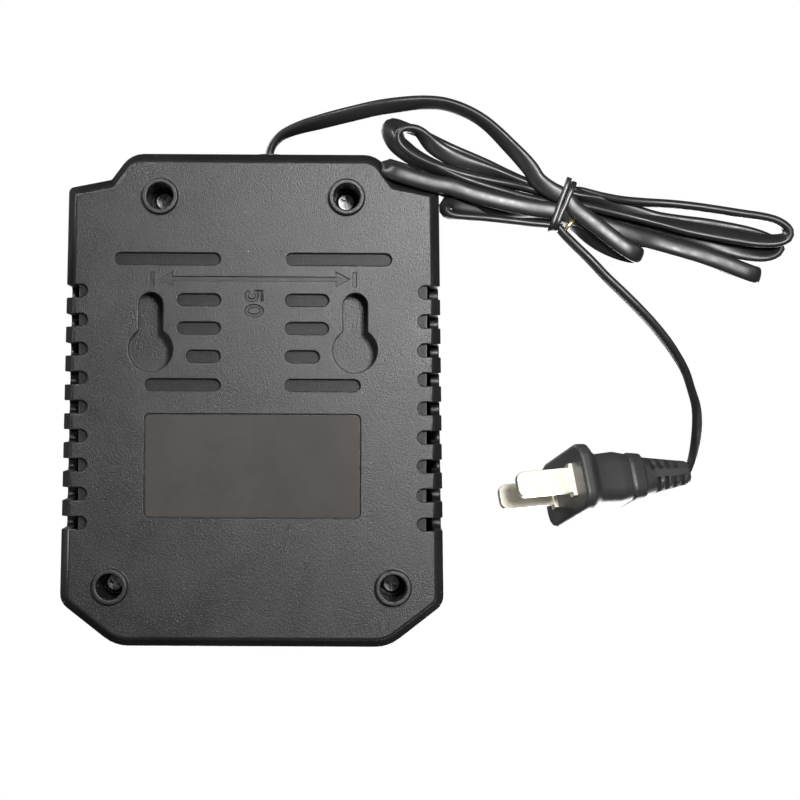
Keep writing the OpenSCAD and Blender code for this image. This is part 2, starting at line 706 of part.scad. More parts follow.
// From a terminal's tail down to the output stage, past the transformer on either side
module output_leads() color([0.6, 0.08, 0.06]) {
    tube(smooth([
        [blade_x[0], 21, block_low - 3], [blade_x[0], 21, block_low - 3.6], [blade_x[0], 21, block_low - 4.2],
        [-13, 17, 21], [-13, 8, 20], [-13, -13, 19],
        [-13.6, -20.2, 15], [-13.6, -20.4, board_top + 2], [-13.6, -20.4, board_top + 1], [-13.6, -20.4, board_top]
    ], 3), 1.8, 1.8, 8, [1, 0, 0]);
    tube(smooth([
        [blade_x[2], 21, block_low - 3], [blade_x[2], 21, block_low - 3.6], [blade_x[2], 21, block_low - 4.2],
        [11, 17, 21], [10.9, 10, 20], [12.8, 3.2, 20], [17.4, -1.6, 20], [18.6, -8, 20], [18, -17, 18],
        [17.6, -20.8, 15], [17.6, -21, board_top + 2], [17.6, -21, board_top + 1], [17.6, -21, board_top]
    ], 3), 1.8, 1.8, 8, [1, 0, 0]);
}

// Mains lead inside the housing

module cord_section(grow)
    polygon([for (k = [0 : 23]) [(cord_t / 2 + grow) * cos(15 * k), (cord_w / 2 + grow) * sin(15 * k)]]);

module cord_bushing() color([0.09, 0.09, 0.09]) difference() {
    union() {
        intersection() {
            bushing_slot(-0.05);
            box([-20, rear_out - wall - 0.4, 0], [20, rear_out + 0.1, split_z]);
        }
        translate([exit_x, rear_out, exit_z]) rotate([-90, 0, 0]) cylinder(r = bushing_r + 0.5, h = 0.3);
        translate([exit_x, rear_out - wall - 1.6, exit_z]) rotate([-90, 0, 0]) cylinder(r = bushing_r + 1, h = 1.2);
        translate([exit_x, rear_out - bushing_l, exit_z]) rotate([-90, 0, 0]) cylinder(r1 = sleeve_r, r2 = bushing_r - 0.2, h = bushing_l - wall);
    }
    translate([exit_x, rear_out - 30, exit_z]) rotate([-90, 0, 0]) linear_extrude(40) cord_section(0.05);
}

module cord_inner_end() color([0.07, 0.07, 0.07])
    translate([exit_x, inner_end, exit_z]) rotate([-90, 0, 0]) linear_extrude(lead_start - inner_end)
        cord_section(0);

module cord_clamp() color([0.2, 0.2, 0.21]) difference() {
    box([exit_x - clamp_reach - 3, clamp_y - 3, clamp_z], [exit_x + clamp_reach + 3, clamp_y + 3, clamp_z + 2.6]);
    for (side = [-1, 1]) translate([exit_x + side * clamp_reach, clamp_y, clamp_z - 1]) cylinder(d = 2.8, h = 5);
}

module clamp_screws() color([0.75, 0.76, 0.78])
    for (side = [-1, 1]) translate([exit_x + side * clamp_reach, clamp_y, clamp_z + 4.2]) mirror([0, 0, 1])
        screw(4.4, 1.6, 2.2, 8);

// Each leaves the stripped end straight, rises over the edge of the board and turns down on to it
module mains_wires() color([0.3, 0.2, 0.12]) for (side = [-1, 1])
    tube(smooth([
        for (y = [0 : 0.6 : 1.2]) [exit_x, inner_end - y, exit_z + side * cord_w / 4],
        [exit_x + side * 0.8, inner_end - 2.7, exit_z + 0.9 + side * 0.9],
        [exit_x + side * 1.9, inner_end - 4.1, exit_z + 2.2 + side * 0.4],
        [exit_x + side * 2.9, inner_end - 5.4, exit_z + 2.7],
        [exit_x + side * 3.5, inner_end - 6.5, exit_z + 2.2],
        for (z = [1.3, 0.6, 0]) [exit_x + side * 3.6, inner_end - 7, board_top + z]
    ], 3), 1.6, 1.6, 8, [1, 0, 0]);

// Mains lead outside. It lies on the table, its wide side upright, and rises to the plug.

plug_at = [-77.5, -21.1, 13.7];      // middle of the plug's face
plug_way = 175;                     // direction from the face to the cord, seen from above
plug_rise = 17;                     // how far that direction rises
plug_roll = -15;                    // turn of the blades about it
relief_end = 33.5;                  // length of the plug, from face to cord

function plug_point(x) = plug_at + x * [cos(plug_rise) * cos(plug_way), cos(plug_rise) * sin(plug_way), sin(plug_rise)];

lead_end = [-67.4, 57.4, 2.2];      // on a face of the hank that looks back along the lead
tail_end = [-79.4, 37.6, 2.2];      // the same for the tail
run_in = unit([-1, -1, 0]);
run_out = unit([-1, -0.86, 0]);
lead_route = [
    [exit_x, lead_start, exit_z], [exit_x, lead_start + 1, exit_z], [exit_x, lead_start + 2, exit_z],
    [-4.2, 63.4, 11.7], [-6.6, 65.9, 10.9], [-11, 67.6, 9],
    [-16.5, 68.8, 6.2], [-23, 70.2, 4], [-32, 72, 2.4], [-42, 73, 2.2], [-49, 72, 2.2], [-56.2, 68.4, 2.2],
    lead_end - 5 * run_in, lead_end - 2.5 * run_in, lead_end
];
tail_route = [
    tail_end, tail_end + 2 * run_out, tail_end + 4 * run_out,
    [-86.2, 30.5, 2.2], [-90.3, 26.6, 2.2], [-94.2, 22.7, 2.4], [-98, 18.8, 3.1], [-101.3, 14.9, 4.3],
    [-104.1, 11, 5.7], [-106.6, 7.1, 7.4], [-108.6, 3.2, 9.7], [-110.3, -0.8, 12.8], [-111.3, -4.8, 16.4],
    [-111.7, -8.9, 19.8], [-111.5, -12.6, 22], [-110.9, -15.6, 22.9], plug_point(relief_end + 0.6), plug_point(relief_end)
];

module mains_cord_lead() color([0.06, 0.06, 0.06]) tube(smooth(lead_route, 3), cord_t, cord_w, 10);
module mains_cord_tail() color([0.06, 0.06, 0.06]) tube(smooth(tail_route, 3), cord_t, cord_w, 10);

// Folded and tied middle of the cord

hank_h = 10;
hank_corners = [
    [-34.5, 56.5, 3], [-32.5, 60.5, 3], [-33, 69, 4], [-38.5, 69.5, 3], [-64.4, 58.2, 0.8],
    [lead_end.x + 1.5, lead_end.y - 1.5, 0.2], [lead_end.x - 1.5, lead_end.y + 1.5, 0.6], [-72, 55.4, 3],
    [-79, 52.2, 20], [-110, 49.3, 20], [-128, 46.6, 4], [-131.4, 43.5, 2.4], [-131.2, 38.6, 2.4],
    [-126, 29, 2.5], [-120.5, 29, 3], [-97.4, 37, 1], [-96.4, 34.6, 1], [-92, 34.2, 2],
    [-82.6, 39.4, 1], [tail_end.x - 1.24, tail_end.y + 1.44, 0.2], [tail_end.x + 1.24, tail_end.y - 1.44, 0.4],
    [-76.6, 40.4, 1], [-70.5, 42, 10], [-60.7, 44.2, 10], [-47.8, 45, 1.5], [-47.6, 53.4, 2]
];
tie_at = [-75.6, 46.9];
tie_turn = -14.5;                   // the hank runs down to the left of the housing
tie_w = 4.4;
tie_t = 0.8;
tie_reach = 6.2;                    // half the width that it takes in

// The hank's waist, inside the tie
module waist() box([-tie_w, -tie_reach + tie_t, tie_t], [tie_w, tie_reach - tie_t, hank_h - tie_t]);

module at_tie() translate([tie_at.x, tie_at.y, 0]) rotate(-tie_turn) children();

module cord_tie() color([0.1, 0.1, 0.1]) at_tie() difference() {
    box([-tie_w / 2, -tie_reach, 0], [tie_w / 2, tie_reach, hank_h]);
    waist();
}

module cord_hank() color([0.07, 0.07, 0.07]) difference() {
    linear_extrude(hank_h) polygon(rounded(
        [for (i = [len(hank_corners) - 1 : -1 : 0]) [hank_corners[i].x, hank_corners[i].y]],
        [for (i = [len(hank_corners) - 1 : -1 : 0]) hank_corners[i][2]], 3
    ));
    at_tie() difference() {
        box([-tie_w / 2, -12, -1], [tie_w / 2, 12, hank_h + 1]);
        waist();
    }
}

// Plug. Its own frame starts at the middle of the face, X towards the cord, Z across the blades.

flange = [2.8, 16.6, 27];
blade_l = 15.9;
blade_gap = 12.7;

// A rounded rectangle across the plug's axis
function plug_ring(x, w, h, r) = [
    for (p = rounded([[w / 2, -h / 2], [w / 2, h / 2], [-w / 2, h / 2], [-w / 2, -h / 2]], [r, r, r, r], 3)) [x, p.x, p.y]
];

module plug_body() color([0.1, 0.1, 0.1]) translate(plug_at) rotate([plug_roll, -plug_rise, plug_way]) difference() {
    union() {
        loft([
            plug_ring(0, flange.y, flange.z, 4), plug_ring(flange.x, flange.y, flange.z, 4),
            plug_ring(flange.x + 2.4, 12.4, 20, 3.4), plug_ring(6.6, 11, 17, 3), plug_ring(12, 11.4, 16.6, 3),
            plug_ring(15.8, 10.4, 14, 3)
        ]);
        loft([
            plug_ring(15, 9.6, 13, 3), plug_ring(16.6, 11, 14.6, 3.4), plug_ring(19.8, 10.4, 13, 3.2),
            plug_ring(20.5, 9, 11, 3), plug_ring(relief_end - 0.9, 6.2, 8.4, 2.6), plug_ring(relief_end, 5.2, 7.4, 2)
        ]);
    }
    for (i = [0 : 3], side = [-1, 1]) {
        x = 22 + 2.4 * i + (side > 0 ? 1.2 : 0);
        box([x, side * 3 - 2.1, -8], [x + 1.2, side * 3 + 2.1, -3.1 + 0.18 * i]);
        box([x, side * 3 - 2.1, 3.1 - 0.18 * i], [x + 1.2, side * 3 + 2.1, 8]);
    }
}

module plug_blades() color([0.85, 0.84, 0.78]) translate(plug_at) rotate([plug_roll, -plug_rise, plug_way]) for (side = [-1, 1])
    translate([0, 0, side * blade_gap / 2 - 0.75]) linear_extrude(1.5)
        polygon(rounded([[-blade_l, -3.175], [0, -3.175], [0, 3.175], [-blade_l, 3.175]], [2, 0.1, 0.1, 2], 4));

bottom_cover();
top_housing();
rating_label();
case_screws();
terminal_block();
positive_terminal();
sense_terminal();
negative_terminal();
terminal_screws();
light_pipes();
status_leds();
circuit_board();
board_screws();
transformer_core();
transformer_winding();
input_capacitor();
output_capacitors();
film_capacitor();
disc_capacitor();
choke_core();
choke_winding();
fuse_tube();
fuse_caps();
bridge_rectifier();
primary_heat_sink();
power_transistor();
output_heat_sink();
output_diode();
heat_sink_screws();
optocoupler();
controller_chip();
output_leads();
cord_bushing();
cord_clamp();
clamp_screws();
cord_inner_end();
mains_wires();
mains_cord_lead();
cord_hank();
mains_cord_tail();
cord_tie();
plug_body();
plug_blades();
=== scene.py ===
import json
import math

import bmesh
import bpy
from mathutils import Matrix, Vector


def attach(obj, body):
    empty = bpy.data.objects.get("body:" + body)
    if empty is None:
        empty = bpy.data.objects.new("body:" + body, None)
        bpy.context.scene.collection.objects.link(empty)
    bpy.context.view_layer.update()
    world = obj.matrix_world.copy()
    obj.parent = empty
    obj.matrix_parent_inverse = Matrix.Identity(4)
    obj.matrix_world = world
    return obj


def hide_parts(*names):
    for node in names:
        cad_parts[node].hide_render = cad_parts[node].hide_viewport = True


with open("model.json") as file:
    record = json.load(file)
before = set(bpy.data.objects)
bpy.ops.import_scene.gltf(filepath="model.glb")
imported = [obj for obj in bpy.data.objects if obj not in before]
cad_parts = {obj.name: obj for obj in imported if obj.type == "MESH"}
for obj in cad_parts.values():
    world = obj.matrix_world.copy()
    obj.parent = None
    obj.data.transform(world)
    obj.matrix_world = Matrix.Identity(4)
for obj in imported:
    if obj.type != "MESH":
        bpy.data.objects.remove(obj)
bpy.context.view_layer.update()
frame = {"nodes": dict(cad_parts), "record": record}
nodes = frame["nodes"]
scene = bpy.context.scene
scene.view_settings.view_transform = "Standard"
mm = 0.001
upwards = Vector((0, 0, 1))


# Camera, looking up at the underside

cameraSetup = {
    "place": (-18.2, -0.3, -483.3), "lens": 89.4, "shiftX": 0.09125, "shiftY": 0.0025, "roll": -0.3,
}


def makeCamera():
    data = bpy.data.cameras.new("camera")
    data.lens = cameraSetup["lens"]
    data.sensor_width = 36
    data.shift_x = cameraSetup["shiftX"]
    data.shift_y = cameraSetup["shiftY"]
    data.clip_start = 0.01
    obj = bpy.data.objects.new("camera", data)
    obj.location = Vector(cameraSetup["place"]) * mm
    obj.rotation_euler = (0, math.pi, math.radians(cameraSetup["roll"]))
    scene.collection.objects.link(obj)
    scene.camera = obj


makeCamera()
print("camera set")


# Turns a finished bmesh into an object in the scene
def looseObject(name, bm):
    mesh = bpy.data.meshes.new(name)
    bm.to_mesh(mesh)
    bm.free()
    obj = bpy.data.objects.new(name, mesh)
    scene.collection.objects.link(obj)
    return obj


# Node trees

def newMaterial(name):
    material = bpy.data.materials.new(name)
    material.use_nodes = True
    tree = material.node_tree
    shader = tree.nodes["Principled BSDF"]
    return material, tree, shader


def addNode(tree, kind, inputs=None, **settings):
    node = tree.nodes.new(kind)
    for key, value in settings.items():
        setattr(node, key, value)
    for key, value in (inputs or {}).items():
        if isinstance(value, bpy.types.NodeSocket):
            tree.links.new(value, node.inputs[key])
        else:
            node.inputs[key].default_value = value
    return node


def grey(level):
    return (level, level, level, 1)


# Noise with features of about that size in mm
def noise(tree, place, size, detail=2.0, roughness=0.5):
    return addNode(tree, "ShaderNodeTexNoise", {
        "Vector": place, "Scale": 1 / (size * mm), "Detail": detail, "Roughness": roughness})


def remap(tree, value, fromLow, fromHigh, toLow, toHigh):
    return addNode(tree, "ShaderNodeMapRange", {
        "Value": value, "From Min": fromLow, "From Max": fromHigh,
        "To Min": toLow, "To Max": toHigh}).outputs["Result"]


def mixColours(tree, share, first, second, blend="MIX"):
    node = addNode(tree, "ShaderNodeMix", data_type="RGBA", blend_type=blend)
    for socket, value in zip((node.inputs[0], node.inputs[6], node.inputs[7]), (share, first, second)):
        if isinstance(value, bpy.types.NodeSocket):
            tree.links.new(value, socket)
        else:
            socket.default_value = value
    return node.outputs[2]


# Bumps on bumps: each layer has its height, its strength and its depth in mm
def addBumps(tree, layers):
    normal = None
    for height, strength, depth in layers:
        inputs = {"Height": height, "Strength": strength, "Distance": depth * mm}
        if normal:
            inputs["Normal"] = normal
        normal = addNode(tree, "ShaderNodeBump", inputs).outputs["Normal"]
    return normal


def objectPlace(tree):
    return addNode(tree, "ShaderNodeTexCoord").outputs["Object"]


def mathNode(tree, operation, first, second):
    return addNode(tree, "ShaderNodeMath", {0: first, 1: second}, operation=operation).outputs[0]


# World, floor and lamps

# floor size and fade in metres
studio = {"ambient": 0.1, "floorColour": 0.8, "floorSize": 12.0, "fade": (0.2, 0.6)}


def makeWorld():
    world = bpy.data.worlds.new("studio")
    world.use_nodes = True
    tree = world.node_tree
    tree.nodes.clear()
    path = addNode(tree, "ShaderNodeLightPath").outputs
    plain = addNode(tree, "ShaderNodeBackground", {"Color": grey(1), "Strength": studio["ambient"]})
    white = addNode(tree, "ShaderNodeBackground", {"Color": grey(1), "Strength": 1.0})
    seen = mathNode(tree, "MAXIMUM", path["Is Camera Ray"], path["Is Transmission Ray"])
    mix = addNode(tree, "ShaderNodeMixShader", {0: seen, 1: plain.outputs[0], 2: white.outputs[0]})
    addNode(tree, "ShaderNodeOutputWorld", {"Surface": mix.outputs[0]})
    scene.world = world


# Paper seen from above, fading to white, and clear from below and to the lamps
def makeFloor():
    bm = bmesh.new()
    bmesh.ops.create_grid(bm, x_segments=1, y_segments=1, size=studio["floorSize"] / 2)
    floor = looseObject("floor", bm)
    material, tree, shader = newMaterial("floor")
    tree.nodes.remove(shader)
    path = addNode(tree, "ShaderNodeLightPath").outputs
    side = addNode(tree, "ShaderNodeNewGeometry").outputs
    fromAbove = mathNode(tree, "SUBTRACT", path["Is Camera Ray"], side["Backfacing"])
    paper = addNode(tree, "ShaderNodeBsdfDiffuse", {"Color": grey(studio["floorColour"])})
    far = addNode(tree, "ShaderNodeVectorMath", {0: objectPlace(tree)}, operation="LENGTH").outputs["Value"]
    white = addNode(tree, "ShaderNodeEmission", {"Color": grey(1), "Strength": 1.0})
    paper = addNode(tree, "ShaderNodeMixShader", {
        0: remap(tree, far, *studio["fade"], 0, 1), 1: paper.outputs[0], 2: white.outputs[0]})
    clear = addNode(tree, "ShaderNodeBsdfTransparent")
    mix = addNode(tree, "ShaderNodeMixShader", {0: fromAbove, 1: clear.outputs[0], 2: paper.outputs[0]})
    tree.links.new(mix.outputs[0], tree.nodes["Material Output"].inputs["Surface"])
    floor.data.materials.append(material)


# places and sizes in mm, power in watts
lampAim = (-20, 0, 15)
lamps = {
    "besideCamera": {"place": (-152, 118, -510), "size": 110, "power": 3.3},
    "keyBelow": {"place": (250, 340, -350), "size": 110, "power": 1.6},
    "fillBelow": {"place": (330, -300, -360), "size": 260, "power": 0.2},
    "rightBelow": {"place": (-480, 160, -300), "size": 240, "power": 0.3},
    "softAbove": {"place": (-250, -350, 620), "size": 600, "power": 10.0},
    "sideAbove": {"place": (520, 300, 420), "size": 500, "power": 5.0},
}


def makeLamps():
    for name, lamp in lamps.items():
        data = bpy.data.lights.new(name, "AREA")
        data.energy = lamp["power"]
        data.size = lamp["size"] * mm
        obj = bpy.data.objects.new(name, data)
        obj.location = Vector(lamp["place"]) * mm
        aim = Vector(lampAim) * mm - obj.location
        obj.rotation_euler = aim.to_track_quat("-Z", "Y").to_euler()
        scene.collection.objects.link(obj)


makeWorld()
makeFloor()
makeLamps()
print("studio set")


# Mains cord

cordSpec = {
    "width": 4.2, "thickness": 2.1, "sides": 28, "ringStep": 0.9,
    "colours": (0.012, 0.018), "roughness": (0.3, 0.42),
    "exit": (-3.5, 60.7, 12), "endLean": -15,
    # x, y, z in mm and the lean of the wide side from upright, in degrees
    "lead": [
        (-3.5, 59.2, 12, 0), (-3.5, 60.2, 12, 0), (-3.5, 61.2, 12, 0), (-4.2, 63.4, 11.7, 0),
        (-6.6, 65.9, 10.9, 10), (-11, 67.6, 9, 25), (-16.5, 68.8, 6.2, 40), (-23, 70.2, 4, 48),
        (-32, 72, 2.4, 48), (-42, 73, 2.2, 36), (-49, 72, 2.2, 30), (-56.2, 68.4, 2.2, 30),
        (-63.4, 61.6, 2.2, 50), (-67.4, 57.2, 2, 70),
    ],
    "tail": [
        (-75.9, 41.2, 2.8, 0), (-78.4, 38.6, 2.4, 2), (-82.4, 34.7, 2.2, 4), (-86.1, 30.8, 2.2, 6),
        (-90.1, 27, 2.2, 8), (-94.1, 23.1, 2.4, 9), (-97.9, 19.2, 3.1, 8), (-101.3, 15.3, 4.3, 8),
        (-104.2, 11.5, 5.7, 2), (-106.7, 7.6, 7.4, -5), (-108.6, 3.2, 9.7, -12), (-110.3, -0.8, 12.8, -20),
        (-111.3, -4.8, 16.4, -26), (-111.7, -8.9, 19.8, -26), (-111.5, -12.6, 22, -20),
        (-110.9, -15.6, 22.9, -16),
    ],
}

# The folded middle, in the order the cord takes it: each loop has its ends at the tie
hankLoops = {
    "shortLoop": [
        (-69.4, 54.2, 1.9, 72), (-72.4, 51.9, 1.9, 80), (-76.2, 49.9, 1.9, 86), (-78.2, 47.5, 1.7, 90),
        (-81.6, 44.8, 1.4, 90), (-85.5, 41.7, 1.2, 90), (-89.4, 38.7, 1.15, 90), (-92.1, 36.9, 1.2, 90),
        (-93.8, 36.1, 2, 90), (-94.3, 35.9, 3.2, 90), (-93.4, 36.1, 4.5, 90), (-90.5, 36.8, 5, 88),
        (-86.4, 38.5, 5.3, 70), (-82.7, 40.6, 5.4, 45), (-79, 43.2, 5.3, 15), (-75.2, 45.3, 5.1, 0),
    ],
    "wideStrand": [
        (-71.5, 46.3, 4.9, 10), (-65.8, 46.8, 4.6, 35), (-60.4, 47.4, 4.4, 60), (-55.5, 48.5, 4.4, 65),
        (-51.1, 50.2, 4.6, 62), (-47.4, 52, 4.9, 66), (-43.9, 53.4, 4.9, 78), (-40.5, 54.6, 4.7, 84),
        (-37.3, 56.1, 4.3, 86), (-34.8, 56.9, 4.1, 90), (-33, 57.3, 3.2, 90), (-32.8, 56.7, 2, 90),
        (-34.6, 55.8, 1.15, 90), (-39.1, 54.4, 1.1, 90), (-43.5, 53.2, 1.1, 90), (-48.4, 52.3, 1.1, 90),
        (-53.5, 50.6, 1.1, 90), (-60.6, 48.8, 1.2, 90), (-67.7, 47.4, 1.5, 90), (-71.9, 46.9, 1.8, 90),
        (-75.1, 46.3, 2, 90),
    ],
    "lowStrand": [
        (-77.4, 45.6, 2.8, 90), (-80, 45, 3.7, 90), (-82.9, 44.2, 3.9, 90), (-86.4, 43.1, 3.8, 90),
        (-90.2, 41.8, 3.4, 90), (-94.5, 40.3, 2.6, 88), (-98.3, 39.2, 1.7, 86), (-103.1, 37.8, 1.3, 84),
        (-109, 36.1, 1.2, 86), (-114.8, 34.1, 1.15, 90), (-119.2, 32.4, 1.15, 90), (-121.4, 31.6, 1.3, 90),
        (-122.9, 31.2, 2.2, 90), (-123, 31.4, 3.4, 90), (-121.4, 32, 4.4, 90), (-117, 33.5, 4.5, 88),
        (-111.1, 35.8, 4.6, 85), (-105.2, 37.5, 4.8, 80), (-98.9, 39.3, 5.1, 65), (-92.5, 41.5, 5.5, 40),
        (-86.4, 43.9, 5.7, 15), (-80.7, 45.9, 5.5, 0), (-75.7, 47.4, 5.1, 0),
    ],
    "outerLoop": [
        (-71.5, 49.1, 5, 0), (-66.3, 50.2, 4.2, 0), (-60.8, 51.6, 3.4, 0), (-55.4, 53.1, 2.9, 0),
        (-50, 54.7, 2.7, -12), (-44.6, 56.8, 2.7, -30), (-40.1, 58.8, 2.7, -42), (-36.8, 60.9, 2.8, -50),
        (-34.5, 63, 3, -54), (-33.4, 65.1, 3.5, -56), (-33.1, 66.8, 4.3, -55), (-34.1, 68, 5.3, -45),
        (-36.3, 67.8, 6.3, -32), (-39.8, 66.6, 7, -22), (-44.8, 64.4, 7.2, -10), (-49.7, 61.9, 7.4, 10),
        (-54.2, 59.4, 7.7, 45), (-58.2, 57.4, 8, 75), (-62.2, 55.5, 8.1, 88), (-66.6, 53.6, 8.15, 90),
        (-71.8, 51.8, 8.15, 90), (-76.7, 50.3, 8.15, 90),
    ],
    "farLoop": [
        (-79.4, 51.2, 7.6, 70), (-82.8, 50.8, 6.5, 35), (-86.5, 50.2, 5.2, 10), (-90.8, 49.5, 4.1, 0),
        (-95.6, 49, 3.3, 0), (-101.4, 48.6, 2.7, 0), (-107.2, 48, 2.4, 0), (-113, 47.2, 2.3, 0),
        (-118.9, 46.3, 2.3, 0), (-123.8, 45.6, 2.3, 0), (-127.2, 44.8, 2.3, 0), (-129.4, 43.7, 2.3, 0),
        (-130.7, 42.2, 2.35, 10), (-130.2, 40.5, 2.4, 28), (-127.7, 39.7, 2.4, 42), (-123.3, 39.8, 2.4, 52),
        (-118, 40.6, 2.4, 56), (-112.1, 41.6, 2.4, 56), (-106.2, 42.7, 2.5, 50), (-100.4, 44, 2.7, 35),
        (-94.6, 45.1, 3, 18), (-89.3, 46.2, 3.5, 6), (-84.4, 47.3, 4.2, 0), (-80.1, 48.4, 4.8, 0),
        (-76.2, 49.4, 5.1, 0),
    ],
    "eyeLoop": [
        (-71.8, 51.1, 5.1, 0), (-67, 52.4, 4.7, 0), (-62.3, 53.3, 3.8, 0), (-57.1, 54.2, 3.2, 0),
        (-51.9, 55.4, 2.9, 5), (-47, 57, 2.8, 12), (-43.1, 58.6, 2.8, 22), (-39.7, 60.4, 2.8, 30),
        (-37.1, 62.4, 2.8, 35), (-35.7, 64.1, 2.8, 25), (-35.8, 65.9, 2.8, 8), (-37.4, 66.8, 2.8, 0),
        (-40.3, 66, 2.8, 18), (-43.6, 62.7, 2.9, 60), (-47.2, 60.4, 3, 74), (-51.4, 58.5, 3.3, 76),
        (-55.9, 56.9, 3.9, 62), (-60.9, 55.4, 4.6, 35), (-65.8, 54, 5.1, 12), (-71.3, 52.5, 5.2, 0),
        (-76.7, 51.5, 5.1, 0),
    ],
    "deepLoop": [
        (-80.1, 50.3, 5, 20), (-84.1, 49.3, 5.1, 45), (-88.5, 48.1, 5.3, 62), (-93.5, 46.6, 5.4, 70),
        (-98.9, 45, 5.5, 70), (-104.8, 44.1, 5.6, 70), (-110.7, 43.4, 5.6, 70), (-116.6, 42.4, 5.5, 68),
        (-122, 41.3, 5.2, 55), (-125.8, 40.2, 4.8, 35), (-128.3, 39, 4.7, 22), (-128.9, 38.1, 4.7, 25),
        (-127.6, 36.9, 4.8, 40), (-124.9, 36.5, 5, 60), (-120.6, 37, 5.4, 72), (-115.7, 38.2, 5.8, 82),
        (-110.4, 40, 6.2, 90), (-104.5, 41.7, 6.5, 90), (-98.2, 43.4, 6.9, 90), (-91.8, 44.8, 7.4, 90),
        (-85.4, 45.7, 7.8, 90), (-80.5, 45.8, 8.1, 90), (-75.6, 45.8, 8.15, 90),
    ],
    "nearLoop": [
        (-71.4, 45.9, 7.9, 88), (-66.1, 46.1, 7.2, 88), (-61.1, 46.7, 6.3, 86), (-56.6, 47.4, 5.3, 84),
        (-52.3, 48, 4.4, 82), (-49.6, 48.4, 3.8, 78), (-47.7, 48.3, 3.2, 62), (-46.9, 47.2, 2.7, 30),
        (-47.2, 46, 2.4, 12), (-49, 45.4, 2.3, 0), (-51.9, 45.1, 2.3, 0), (-56.3, 44.8, 2.3, 0),
        (-62.2, 44.2, 2.3, 0), (-67.9, 43.6, 2.6, 0), (-71.5, 43.3, 2.8, 0), (-74.3, 42.9, 2.9, 0),
    ],
}


# The plug in its own frame: X runs from its face to its cord. Lengths in mm and angles in degrees.
plugSpec = {
    "place": (-77.5, -21.1, 13.7), "way": 175, "rise": 17, "roll": -15, "length": 33.5,
    "flangeBack": 3.2, "ring": (16.5, 19.9), "ringBack": 20.2, "fuller": 0.14, "endFuller": 0.04,
    "bladeTrim": 0.9, "tipsBefore": -8, "bladeSpread": 6.35, "shoulder": (1.3, 8.2, 2.3), "shoulderAt": -0.35,
}


def plugFrame():
    way, rise, roll = (math.radians(plugSpec[key]) for key in ("way", "rise", "roll"))
    return (Matrix.Translation(Vector(plugSpec["place"]) * mm) @ Matrix.Rotation(way, 4, "Z")
            @ Matrix.Rotation(-rise, 4, "Y") @ Matrix.Rotation(roll, 4, "X"))


plugPlace = plugFrame()


def plugPoint(x):
    return plugPlace @ Vector((x * mm, 0, 0)) / mm


# A point on the smooth line from p1 to p2
def curvePoint(p0, p1, p2, p3, t):
    return 0.5 * (2 * p1 + (p2 - p0) * t + (2 * p0 - 5 * p1 + 4 * p2 - p3) * t * t
                  + (3 * p1 - p0 - 3 * p2 + p3) * t ** 3)


# The smooth line through a route, with points that far apart
def evenLine(route, step, spanSteps=12):
    route = [Vector(p) for p in route]
    last = len(route) - 1
    fine = []
    for i in range(last):
        around = [route[max(i - 1, 0)], route[i], route[i + 1], route[min(i + 2, last)]]
        fine += [curvePoint(*around, s / spanSteps) for s in range(spanSteps)]
    fine.append(route[last])
    lengths = [0.0]
    for a, b in zip(fine, fine[1:]):
        lengths.append(lengths[-1] + (b.xyz - a.xyz).length)
    count = max(2, round(lengths[-1] / step))
    line, k = [], 0
    for n in range(count + 1):
        target = lengths[-1] * n / count
        while k < len(fine) - 2 and lengths[k + 1] < target:
            k += 1
        share = (target - lengths[k]) / max(lengths[k + 1] - lengths[k], 1e-9)
        line.append(fine[k].lerp(fine[k + 1], share))
    return line


# A section's frame: its wide side, its thin side and the way it heads
def ringFrame(centre, along, wide):
    wide = (wide - along * wide.dot(along)).normalized()
    return Matrix.Translation(centre * mm) @ Matrix((wide, along.cross(wide), along)).transposed().to_4x4()


def headings(line):
    last = len(line) - 1
    return [(line[min(i + 1, last)].xyz - line[max(i - 1, 0)].xyz).normalized() for i in range(last + 1)]


# Frames along a line whose fourth value is the lean from upright. Where it runs steeply they keep their side.
def leaningFrames(line, steep=0.35):
    frames, across = [], None
    for point, along in zip(line, headings(line)):
        level = upwards.cross(along)
        if across is None or level.length > steep:
            level.normalize()
            across = -level if across and level.dot(across) < 0 else level
        lean = math.radians(point.w)
        frames.append(ringFrame(point.xyz, along, upwards * math.cos(lean) + across * math.sin(lean)))
    return frames


# Sweeps a rounded flat section along the frames
def sweepSection(bm, width, thickness, sides, frames, fullness=0.8):
    ring = bmesh.ops.create_circle(bm, segments=sides, radius=1)["verts"]
    for vert in ring:
        c, s = vert.co.x, vert.co.y
        vert.co.x = math.copysign(abs(c) ** fullness, c) * width / 2 * mm
        vert.co.y = math.copysign(abs(s) ** fullness, s) * thickness / 2 * mm
    bmesh.ops.transform(bm, matrix=frames[0], verts=ring)
    edges = list({edge for vert in ring for edge in vert.link_edges})
    ends = list(edges)
    for before, after in zip(frames, frames[1:]):
        grown = bmesh.ops.extrude_edge_only(bm, edges=edges)["geom"]
        verts = {item for item in grown if isinstance(item, bmesh.types.BMVert)}
        edges = [item for item in grown if isinstance(item, bmesh.types.BMEdge) and set(item.verts) <= verts]
        bmesh.ops.transform(bm, matrix=after @ before.inverted(), verts=list(verts))
    bmesh.ops.holes_fill(bm, edges=ends + edges, sides=0)
    bmesh.ops.recalc_face_normals(bm, faces=bm.faces)


def finishObject(name, bm, material, sharp=40):
    obj = looseObject(name, bm)
    for face in obj.data.polygons:
        face.use_smooth = True
    obj.data.set_sharp_from_angle(angle=math.radians(sharp))
    obj.data.materials.append(material)
    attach(obj, "root")
    return obj


